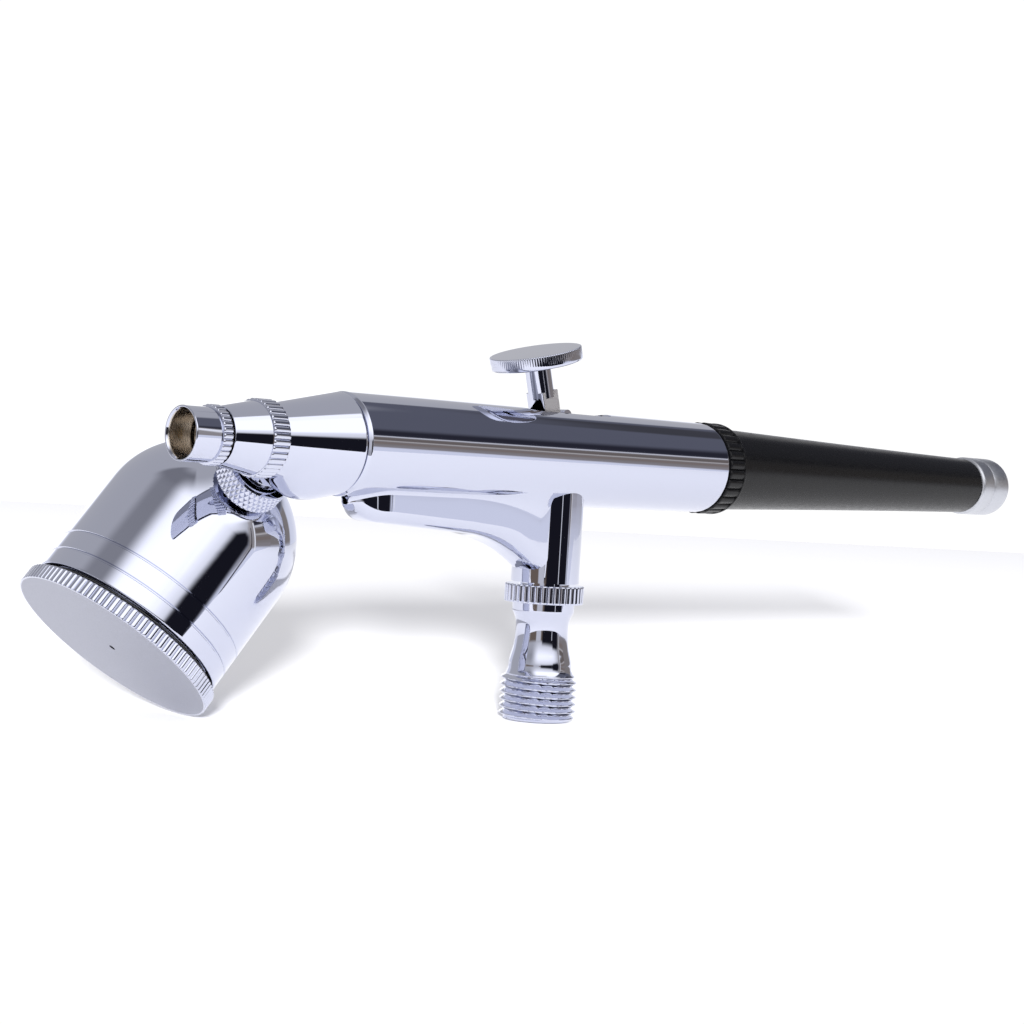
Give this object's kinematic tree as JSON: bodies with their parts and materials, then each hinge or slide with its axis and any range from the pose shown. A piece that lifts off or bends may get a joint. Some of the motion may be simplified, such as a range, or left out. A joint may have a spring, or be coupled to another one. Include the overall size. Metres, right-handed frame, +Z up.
{
  "type": "airbrush gun",
  "caption": "Double-action airbrush gun with a side-feed colour cup on a swivel nut, a button trigger and a threaded air valve.",
  "frame": {"origin": "on the surface it stands on, under the middle of the whole tool", "axes": "+X along the barrel from nozzle to handle, +Z up the air valve to the trigger, cup on the +Y side"},
  "size_m": [0.1624, 0.0368, 0.048],
  "materials": {
    "polished_chrome": "mirror-polished chrome plate on brass",
    "brass": "turned",
    "stainless_steel": "ground",
    "black_anodised_aluminium": "satin black anodised",
    "satin_aluminium": "satin silver anodised",
    "black_rubber": "moulded",
    "white_ptfe": "machined"
  },
  "bodies": {
    "root": {"barrel": "polished_chrome", "fluid_head": "polished_chrome", "head_seal": "white_ptfe", "nozzle_cap": "polished_chrome", "needle_cap": "polished_chrome", "fluid_nozzle": "brass", "nozzle_seal": "white_ptfe", "needle_packing": "white_ptfe", "packing_screw": "brass", "needle_spring": "stainless_steel", "spring_case": "brass", "handle": "black_anodised_aluminium", "handle_ring": "black_anodised_aluminium", "handle_end_cap": "satin_aluminium", "valve_body": "polished_chrome", "valve_washer": "black_rubber", "valve_spring": "stainless_steel", "valve_screw": "brass"},
    "plunger": {"valve_plunger": "brass", "valve_seal": "black_rubber"},
    "trigger": {"trigger_button": "polished_chrome", "trigger_lever": "polished_chrome"},
    "needle_carrier": {"needle": "stainless_steel", "needle_tube": "brass", "needle_lock_nut": "brass", "back_lever_pin_left": "stainless_steel", "back_lever_pin_right": "stainless_steel"},
    "back_lever": {"back_lever": "polished_chrome"},
    "union_nut": {"cup_union_nut": "polished_chrome"},
    "cup": {"cup_bowl": "polished_chrome", "cup_port_seal": "white_ptfe"},
    "lid": {"cup_lid": "polished_chrome", "lid_gasket": "black_rubber"}
  },
  "joints": [
    {"name": "trigger_press", "type": "slide", "parent": "root", "child": "plunger", "axis": [0, 0, -1], "range_m": [0, 0.0022], "stiffness_N_per_m": 1500, "springref_m": -0.0005, "deforming": ["valve_spring"]},
    {"name": "trigger_pull", "type": "hinge", "parent": "plunger", "child": "trigger", "pos_m": [-0.01847, -0.01215, 0.03065], "axis": [0, 1, 0], "range_deg": [0, 28], "stiffness_Nm_per_rad": 0.03, "springref_deg": -5.73},
    {"name": "needle_slide", "type": "slide", "parent": "root", "child": "needle_carrier", "axis": [1, 0, 0], "range_m": [0, 0.0032], "deforming": ["needle_spring"]},
    {"name": "back_lever_swing", "type": "hinge", "parent": "needle_carrier", "child": "back_lever", "pos_m": [-0.01537, -0.01215, 0.03325], "axis": [0, 1, 0], "range_deg": [0, 12]},
    {"name": "cup_swivel", "type": "hinge", "parent": "root", "child": "cup", "pos_m": [-0.06105, 0.00504, 0.02067], "axis": [0, 0.807, -0.5906], "continuous": true},
    {"name": "union_nut_turn", "type": "hinge", "parent": "root", "child": "union_nut", "pos_m": [-0.06105, -0.00626, 0.02894], "axis": [0, 0.807, -0.5906], "range_deg": [0, 90]},
    {"name": "lid_lift", "type": "slide", "parent": "cup", "child": "lid", "axis": [-0.6253, 0.0273, -0.7799], "range_m": [0, 0.01]}
  ],
  "couplings": [
    {"joint": "needle_slide", "follows": "trigger_pull", "m_per_rad": 0.0065},
    {"joint": "back_lever_swing", "follows": "trigger_pull", "ratio": 0.42}
  ]
}
